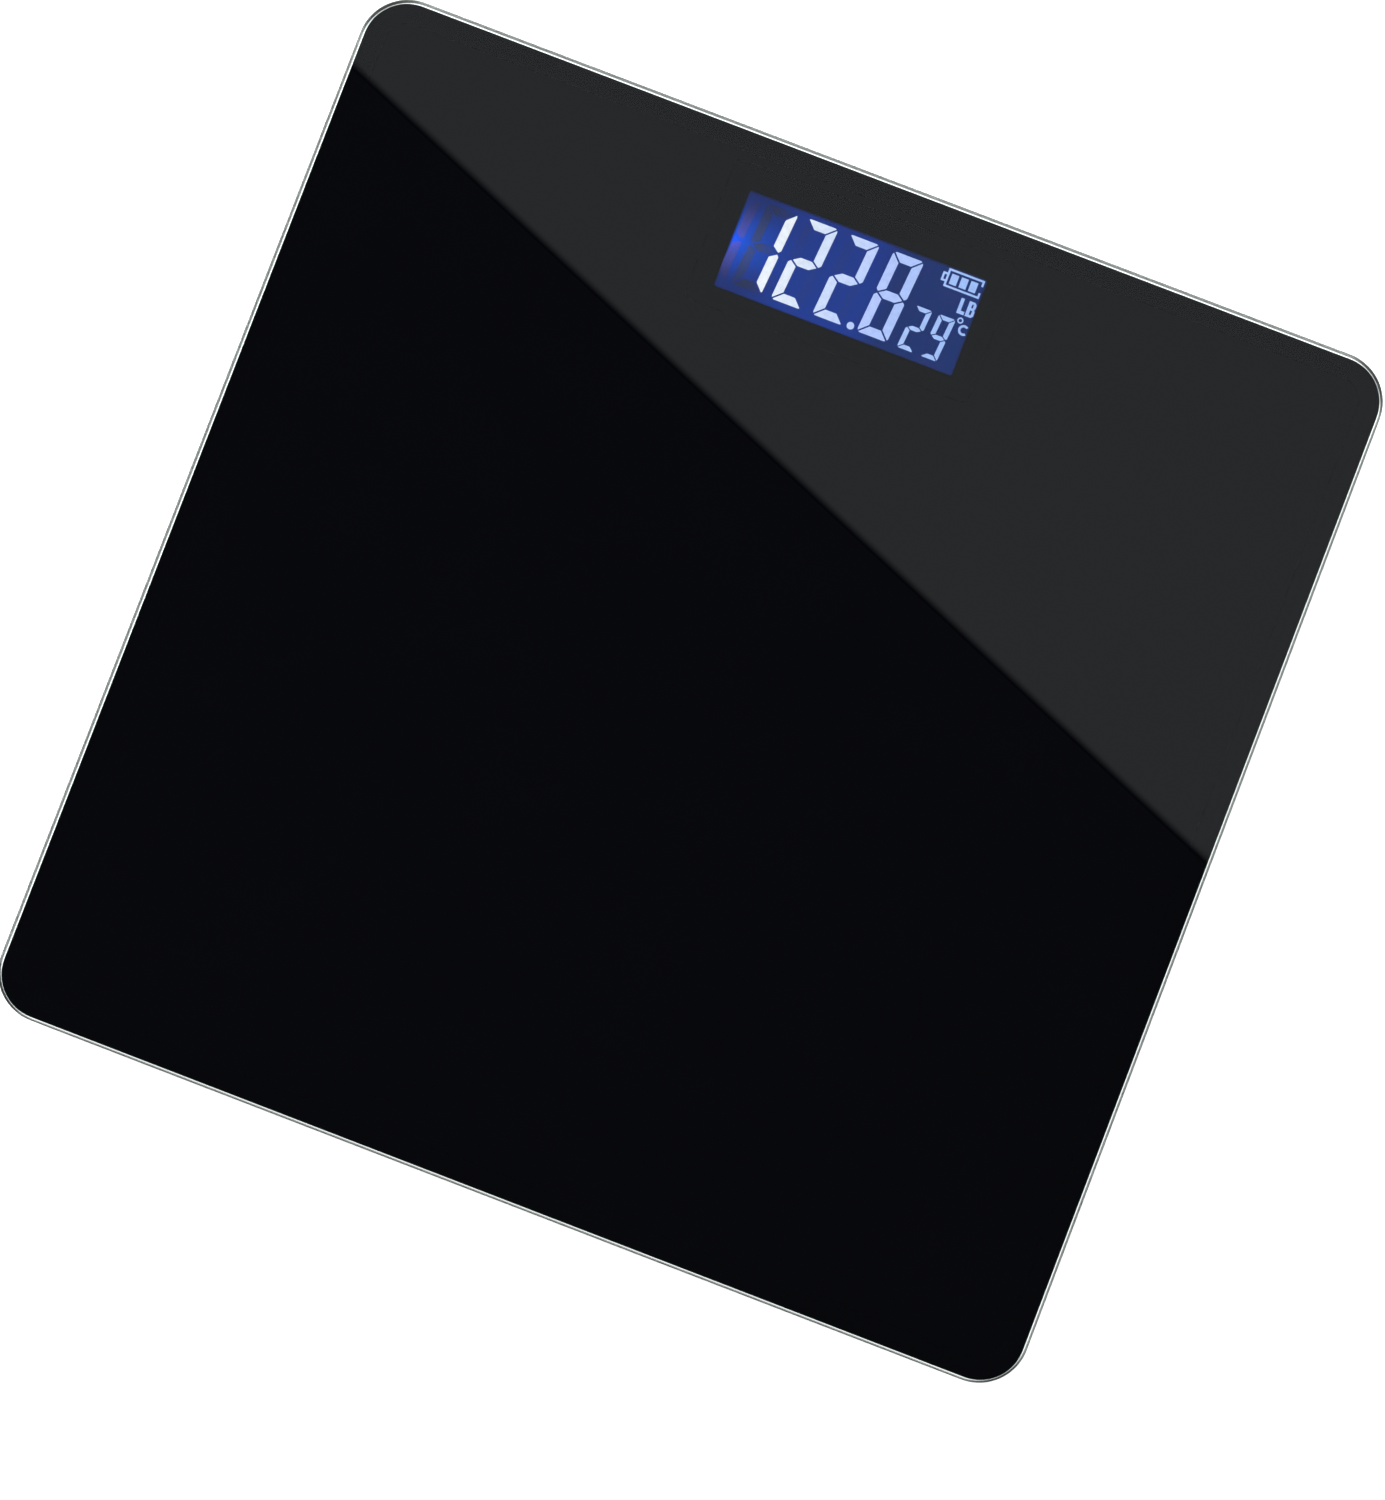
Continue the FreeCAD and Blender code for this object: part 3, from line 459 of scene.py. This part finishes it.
# ------------------------------------------------------------------ display segments, in mm
# places are measured from the window's middle
LEAN = math.tan(math.radians(4.3))
LIT = {"1": "bc", "2": "abged", "8": "abcdefg", "9": "abcdfg"}
BASELINE = -11.2


def place(points):
    return [(WINDOW_MID.x + x * MM, WINDOW_MID.y + y * MM) for x, y in points]


def inset(points, d):
    """A convex outline moved inwards by d."""
    points = [Vector(p) for p in points]
    following = points[1:] + points[:1]
    area = sum(q.x * r.y - r.x * q.y for q, r in zip(points, following))
    turn = 1 if area > 0 else -1
    moved = []
    for i, (q, r) in enumerate(zip(points, following)):
        p = points[i - 1]
        u, w = (q - p).normalized(), (r - q).normalized()
        n0, n1 = Vector((-u.y, u.x)) * turn, Vector((-w.y, w.x)) * turn
        moved.append(tuple(q + (n0 + n1) * (d / (1 + n0.dot(n1)))))
    return moved


def segment_shapes(w, h, tv, th, r):
    """Outlines of the seven segments of an upright digit, by letter."""
    mid = h / 2

    def arc(cx, cy, a0, a1):
        return [(cx + r * math.cos(math.radians(a0 + (a1 - a0) * i / 4)),
                 cy + r * math.sin(math.radians(a0 + (a1 - a0) * i / 4))) for i in range(5)]

    top = arc(w - r, h - r, 45, 90) + arc(r, h - r, 90, 135) + [(tv, h - th), (w - tv, h - th)]
    cut = tv * 0.28
    upper_left = arc(r, h - r, 135, 180) + [(0, mid + cut), (cut, mid), (tv, mid + th / 2), (tv, h - th)]
    middle = [(cut, mid), (tv, mid - th / 2), (w - tv, mid - th / 2), (w - cut, mid),
              (w - tv, mid + th / 2), (tv, mid + th / 2)]
    shapes = {"a": top, "f": upper_left, "g": middle}
    shapes["b"] = [(w - x, y) for x, y in reversed(upper_left)]
    shapes["d"] = [(x, h - y) for x, y in reversed(top)]
    shapes["e"] = [(x, h - y) for x, y in reversed(upper_left)]
    shapes["c"] = [(w - x, h - y) for x, y in upper_left]
    return shapes


def digit(bm, letters, x, heights, w, h, tv, th, r, gap):
    for letter, outline in segment_shapes(w, h, tv, th, r).items():
        if letter in letters:
            leaned = [(x + px + py * LEAN, BASELINE + py) for px, py in inset(outline, gap / 2)]
            slab(bm, [place(leaned)], *heights)


def circle(cx, cy, r, steps=28):
    return place([(cx + r * math.cos(2 * math.pi * i / steps), cy + r * math.sin(2 * math.pi * i / steps))
                  for i in range(steps)])


def rect(x0, y0, x1, y1):
    return place([(x0, y0), (x1, y0), (x1, y1), (x0, y1)])


def battery_mark(bm, heights):
    t, left, right, low, high = 0.54, 22.42, 32.22, 7.93, 12.87
    nub, nub_low, nub_high = 21.26, 9.17, 11.58
    gap_low, gap_high = 9.47, 11.18
    bar, bar_low, bar_high = 1.9, 8.97, 11.73
    outline = [(right, gap_high), (right, high), (left, high), (left, nub_high), (nub, nub_high),
               (nub, nub_low), (left, nub_low), (left, low), (right, low), (right, gap_low),
               (right - t, gap_low), (right - t, low + t), (left + t, low + t), (left + t, high - t),
               (right - t, high - t), (right - t, gap_high)]
    slab(bm, [place(outline), rect(nub + t, nub_low + t, left, nub_high - t)], *heights)
    for x in (23.62, 26.26, 28.88):
        slab(bm, [rect(x, bar_low, x + bar, bar_high)], *heights)


def unit_mark(bm, heights):
    """The letters L and B."""
    t, low, high = 0.90, 2.63, 6.74
    left, right = 28.07, 30.03
    slab(bm, [place([(left, low), (right, low), (right, low + t), (left + t, low + t), (left + t, high),
                     (left, high)])], *heights)
    x0, x1, mid = 30.35, 32.5, 4.77
    upper = x1 - 0.1                                  # the upper bowl is a little narrower
    bowl, nick, nick_half = 0.55, 0.3, 0.45
    bar, side = 0.66, 0.72
    outline = [(x0, low), (x1 - bowl, low), (x1, low + bowl), (x1, mid - nick_half), (x1 - nick, mid),
               (upper, mid + nick_half), (upper, high - bowl), (upper - bowl, high), (x0, high)]
    holes = [rect(x0 + t, low + bar, x1 - side, mid - 0.3),
             rect(x0 + t, mid + 0.35, upper - side, high - bar)]
    slab(bm, [place(outline)] + holes, *heights)


def degree_mark(bm, heights):
    """A small ring and the letter C."""
    slab(bm, [circle(29.83, 1.1, 0.80), circle(29.83, 1.1, 0.44, 20)], *heights)
    cx, cy, outside, within = 31.48, -1.02, 1.42, 0.80
    mouth, steps = 48, 20                             # half the C's opening, in degrees
    angles = [math.radians(mouth + (360 - 2 * mouth) * i / steps) for i in range(steps + 1)]
    outer = [(cx + outside * math.cos(a), cy + outside * math.sin(a)) for a in angles]
    inner = [(cx + within * math.cos(a), cy + within * math.sin(a)) for a in reversed(angles)]
    slab(bm, [place(outer + inner)], *heights)


def display_segments():
    clear, relief = 0.02 * MM, 0.05 * MM
    heights = (PANEL_TOP + clear, PANEL_TOP + clear + relief)
    lit, off = lit_segments(), unlit_segments()
    big = dict(w=8.8, h=23.3, tv=2.80, th=2.75, r=1.3, gap=0.44)
    small = dict(w=4.8, h=12.1, tv=1.52, th=1.42, r=0.8, gap=0.28)
    reading = (("1", -29.17), ("2", -18.14), ("2", -6.71), ("8", 5.52))

    def mark(name, material, draw):
        bm = bmesh.new()
        draw(bm)
        new_piece(name, bm, [material])

    def large(bm):
        for text, x in reading:
            digit(bm, LIT[text], x, heights, **big)
        slab(bm, [circle(3.86, -10.25, 0.98)], *heights)

    def little(bm):
        for text, x in (("2", 16.74), ("9", 23.16)):
            digit(bm, LIT[text], x, heights, **small)

    def unlit(bm):
        digit(bm, "bc", -39.4, heights, **big)
        for text, x in reading:
            digit(bm, set("abcdefg") - set(LIT[text]), x, heights, **big)

    mark("digits_large", lit, large)
    mark("digits_small", lit, little)
    mark("battery_mark", lit, lambda bm: battery_mark(bm, heights))
    mark("unit_mark", lit, lambda bm: unit_mark(bm, heights))
    mark("degree_mark", lit, lambda bm: degree_mark(bm, heights))
    mark("unlit_segments", off, unlit)


# ------------------------------------------------------------------ CAD nodes
def dress_cad():
    corners = ("front_left", "front_right", "rear_right", "rear_left")
    black_abs = dict(colour=(0.019, 0.0195, 0.021), rough=0.46, grain_mm=0.9, grain=0.14, bump_mm=0.05,
                     mottle=0.28, mottle_mm=30.0, wear=0.7, wear_mm=0.7)
    base = surface("base_abs", **black_abs)
    door = surface("door_abs", **black_abs)
    foot = surface("foot_abs", (0.012, 0.0122, 0.013), 0.26, grain_mm=0.7, bump_mm=0.004, wear=0.5)
    rubber = surface("pad_rubber", (0.058, 0.058, 0.060), 0.85, grain_mm=0.8, bump_mm=0.05, mottle=0.3,
                     mottle_mm=6.0, wear=0.7, wear_colour=(0.17, 0.168, 0.16, 1), specular=0.3)
    steel = surface("spring_steel", (0.55, 0.55, 0.56), 0.3, metal=1.0, grain_mm=0.3, stretch=(1, 14, 1),
                    bump_mm=0.002)
    zinc = surface("screw_zinc", (0.62, 0.61, 0.58), 0.28, metal=1.0, grain_mm=0.3, bump_mm=0.003, wear=0.4)
    nickel = surface("contact_nickel", (0.70, 0.68, 0.64), 0.2, metal=1.0, grain_mm=0.4, bump_mm=0.002)
    white_abs = surface("white_abs", (0.78, 0.79, 0.78), 0.42, grain_mm=0.5, wear=0.2)
    plain = {
        "back_print": black_ink("print_back", 0.5),
        "display_window": smoked_film(),
        "adhesive_tape": surface("foam_tape", (0.03, 0.03, 0.03), 0.9, grain_mm=0.3, bump_mm=0.03),
        "adhesive_pads": surface("foam_pad", (0.03, 0.03, 0.03), 0.9, grain_mm=0.3, bump_mm=0.03),
        "base_shell": base,
        "battery_door": door,
        "rating_label": surface("label_film", (0.38, 0.385, 0.395), 0.30, grain_mm=1.2, wear=0.4,
                                stretch=(0.05, 1.5, 1)),
        "holder_screws": zinc, "board_screws": zinc,
        "main_board": surface("board_green", (0.02, 0.13, 0.05), 0.3, grain_mm=0.9, mottle=0.3,
                              mottle_mm=5.0, wear=0.5, wear_colour=(0.45, 0.42, 0.25, 1)),
        "chip_blob": surface("chip_epoxy", (0.012, 0.012, 0.013), 0.35, mottle=0.3, grain_mm=1.5,
                             bump_mm=0.02),
        "board_components": surface("chip_parts", (0.30, 0.22, 0.13), 0.45, mottle=0.6, mottle_mm=2.5,
                                    grain_mm=0.4),
        "temperature_sensor": surface("sensor_epoxy", (0.03, 0.03, 0.035), 0.25, grain_mm=0.5),
        "tact_switch": surface("switch_nylon", (0.03, 0.03, 0.03), 0.5, grain_mm=0.4, wear=0.3),
        "switch_plunger": surface("plunger_nylon", (0.60, 0.56, 0.48), 0.45, grain_mm=0.4),
        "unit_button": surface("button_abs", (0.16, 0.165, 0.17), 0.38, grain_mm=0.4, bump_mm=0.005,
                               wear=0.5),
        "reflector_sheet": surface("reflector_film", (0.88, 0.89, 0.9), 0.25, grain_mm=1.0, mottle=0.03),
        "light_guide": surface("guide_acrylic", (0.72, 0.78, 0.88), 0.1, grain_mm=1.0, mottle=0.05,
                               coat=0.3),
        "diffuser_sheet": surface("diffuser_film", (0.85, 0.87, 0.9), 0.6, grain_mm=0.3, mottle=0.03),
        "polarizer_rear": surface("rear_polarizer", (0.04, 0.06, 0.14), 0.2, grain_mm=1.0),
        "polarizer_front": lit_panel(),
        "lcd_glass_rear": surface("lcd_rear_glass", (0.10, 0.16, 0.30), 0.08, grain_mm=2.0, coat=0.3),
        "lcd_glass_front": surface("lcd_front_glass", (0.10, 0.16, 0.30), 0.08, grain_mm=2.0, coat=0.3),
        "zebra_connector": surface("zebra_rubber", (0.20, 0.20, 0.21), 0.7, mottle=0.8, mottle_mm=0.6,
                                   grain_mm=0.3),
        "display_gasket": surface("gasket_foam", (0.012, 0.012, 0.012), 0.95, grain_mm=0.3, bump_mm=0.03),
        "backlight_strip": surface("strip_board", (0.75, 0.75, 0.72), 0.35, grain_mm=0.8),
        "backlight_leds": surface("led_resin", (0.80, 0.78, 0.60), 0.25, grain_mm=0.5),
        "display_frame": white_abs,
        "battery_front": surface("battery_film", (0.03, 0.035, 0.045), 0.22, mottle=0.3, grain_mm=1.5,
                                 wear=0.5, wear_colour=(0.5, 0.5, 0.5, 1), coat=0.4),
        "battery_bridge": nickel, "battery_contact_positive": nickel, "battery_contact_negative": nickel,
        "battery_lead_red": surface("lead_red", (0.50, 0.02, 0.015), 0.4, grain_mm=0.6),
        "battery_lead_black": surface("lead_black", (0.015, 0.015, 0.015), 0.4, grain_mm=0.6),
    }
    plain["battery_rear"] = plain["battery_front"]
    wires = surface("wire_pvc", (0.52, 0.03, 0.02), 0.4, grain_mm=0.6, mottle=0.2)
    silicone = surface("gauge_silicone", (0.75, 0.75, 0.72), 0.5, grain_mm=0.9, bump_mm=0.02)
    for corner in corners:
        plain["foot_" + corner] = foot
        plain["foot_pad_" + corner] = rubber
        plain["load_cell_" + corner] = steel
        plain["strain_gauge_" + corner] = silicone
        plain["cell_holder_" + corner] = white_abs
        plain["cell_wires_" + corner] = wires
    for node, material in plain.items():
        set_material(node, material)
    undressed = set(frame["nodes"]) - set(plain) - {"glass_platform"}
    assert not undressed, undressed


# ------------------------------------------------------------------ stage, light, camera
def plane(name, half_x, half_y, z):
    mesh = bpy.data.meshes.new(name)
    corners = [(-half_x, -half_y, z), (half_x, -half_y, z), (half_x, half_y, z), (-half_x, half_y, z)]
    mesh.from_pydata(corners, [], [(0, 1, 2, 3)])
    obj = bpy.data.objects.new(name, mesh)
    scene.collection.objects.link(obj)
    return obj


def floor():
    """Pale floor, seen from above only, so that the underside can be looked at."""
    obj = plane("floor", 12.0, 12.0, 0.0)
    n = Nodes("pale_floor")
    n.set(n.shader, "Base Color", grey(0.9))
    n.set(n.shader, "Roughness", 0.8)
    n.set(n.shader, "Specular IOR Level", 0.1)
    n.set(n.shader, "Emission Color", grey(1.0))
    n.set(n.shader, "Emission Strength", FLOOR_GLOW)
    clear = n.add("ShaderNodeBsdfTransparent")
    mix = n.tree.nodes.new("ShaderNodeMixShader")
    n.tree.links.new(n.add("ShaderNodeNewGeometry").outputs["Backfacing"], mix.inputs[0])
    n.tree.links.new(n.shader.outputs[0], mix.inputs[1])
    n.tree.links.new(clear.outputs[0], mix.inputs[2])
    n.tree.links.new(mix.outputs[0], n.output.inputs["Surface"])
    obj.data.materials.append(n.material)
    obj.visible_diffuse = False
    obj.visible_shadow = False


def reflector_card():
    """A large soft card high overhead, whose straight edge is mirrored across the glass."""
    height, half_x, half_y = 6.0, 4.0, 1.75
    cam = Vector(CAMERA_PLACE)
    scale = (height - GLASS_HIGH.z) / (cam.z - GLASS_HIGH.z)
    edge_ends = [Vector((-138.75, 118.75)) * MM, Vector((139.0, 5.75)) * MM]      # on the glass
    a, b = (e + (e - cam.xy) * scale for e in edge_ends)
    along = (b - a).normalized()
    across = Vector((-along.y, along.x))
    obj = plane("reflector_card", half_x, half_y, 0.0)
    n = Nodes("card_light")
    _, y, _ = n.xyz()
    ramp = 2.6 * MM * (1 + scale)                     # its soft edge is 2.6 mm wide on the glass
    strength = n.remap(y, -half_y, -half_y + ramp, 0.0, CARD_LIGHT, smooth=True)
    emission = n.add("ShaderNodeEmission", Color=linear(248, 252, 255), Strength=strength)
    n.tree.links.new(emission.outputs[0], n.output.inputs["Surface"])
    obj.data.materials.append(n.material)
    mid = (a + b) / 2 + across * (half_y - ramp / 2)
    obj.location = (mid.x, mid.y, height)
    obj.rotation_euler = (0, 0, math.atan2(along.y, along.x))
    for ray in ("camera", "diffuse", "transmission", "shadow"):
        setattr(obj, "visible_" + ray, False)


def world():
    """A bright studio: pale all round, darker overhead, where the glass mirrors it."""
    w = bpy.data.worlds.new("studio")
    scene.world = w
    w.use_nodes = True
    tree = w.node_tree
    back = tree.nodes["Background"]
    coord = tree.nodes.new("ShaderNodeTexCoord")
    split = tree.nodes.new("ShaderNodeSeparateXYZ")
    tree.links.new(coord.outputs["Generated"], split.inputs[0])

    def ramp(*values):
        node = tree.nodes.new("ShaderNodeMapRange")
        node.interpolation_type = "SMOOTHSTEP"
        tree.links.new(split.outputs["Z"], node.inputs[0])
        for i, v in enumerate(values, start=1):
            node.inputs[i].default_value = v
        return node.outputs[0]

    def pick(chooser, otherwise, when):
        node = tree.nodes.new("ShaderNodeMix")
        for i, v in ((0, chooser), (2, otherwise), (3, when)):
            feed(tree, node.inputs[i], v)
        return node.outputs[0]

    ray = tree.nodes.new("ShaderNodeLightPath").outputs
    mirrored = ramp(0.02, 0.75, ROOM_LIGHT, OVERHEAD_LIGHT)
    strength = pick(ray["Is Glossy Ray"], ramp(0.60, 0.93, ROOM_LIGHT, OVERHEAD_LIGHT), mirrored)
    tree.links.new(pick(ray["Is Camera Ray"], strength, 1.0), back.inputs["Strength"])
    back.inputs["Color"].default_value = grey(1.0)


def area_light(name, where, size, power):
    """A soft light aimed at the middle of the floor."""
    data = bpy.data.lights.new(name, "AREA")
    data.shape = "RECTANGLE"
    data.size, data.size_y = size
    data.energy = power
    obj = bpy.data.objects.new(name, data)
    scene.collection.objects.link(obj)
    obj.location = where
    obj.rotation_euler = (-Vector(where)).to_track_quat("-Z", "Y").to_euler()
    obj.visible_glossy = False                        # never a bright shape mirrored in the glass
    obj.visible_transmission = False


def camera():
    data = bpy.data.cameras.new("camera")
    data.lens = 100.0
    data.sensor_width = 36.0
    obj = bpy.data.objects.new("camera", data)
    scene.collection.objects.link(obj)
    obj.location = CAMERA_PLACE
    obj.rotation_euler = [math.radians(a) for a in CAMERA_TURN]
    scene.camera = obj


scene.view_settings.view_transform = "Standard"
camera()
world()
floor()
reflector_card()
area_light("key", (-0.6, 1.0, 2.4), (1.8, 1.8), 70)
area_light("under", (0.5, -0.6, -1.2), (1.0, 1.0), 12)

glass_plate()
ink_sheet()
display_segments()
dress_cad()
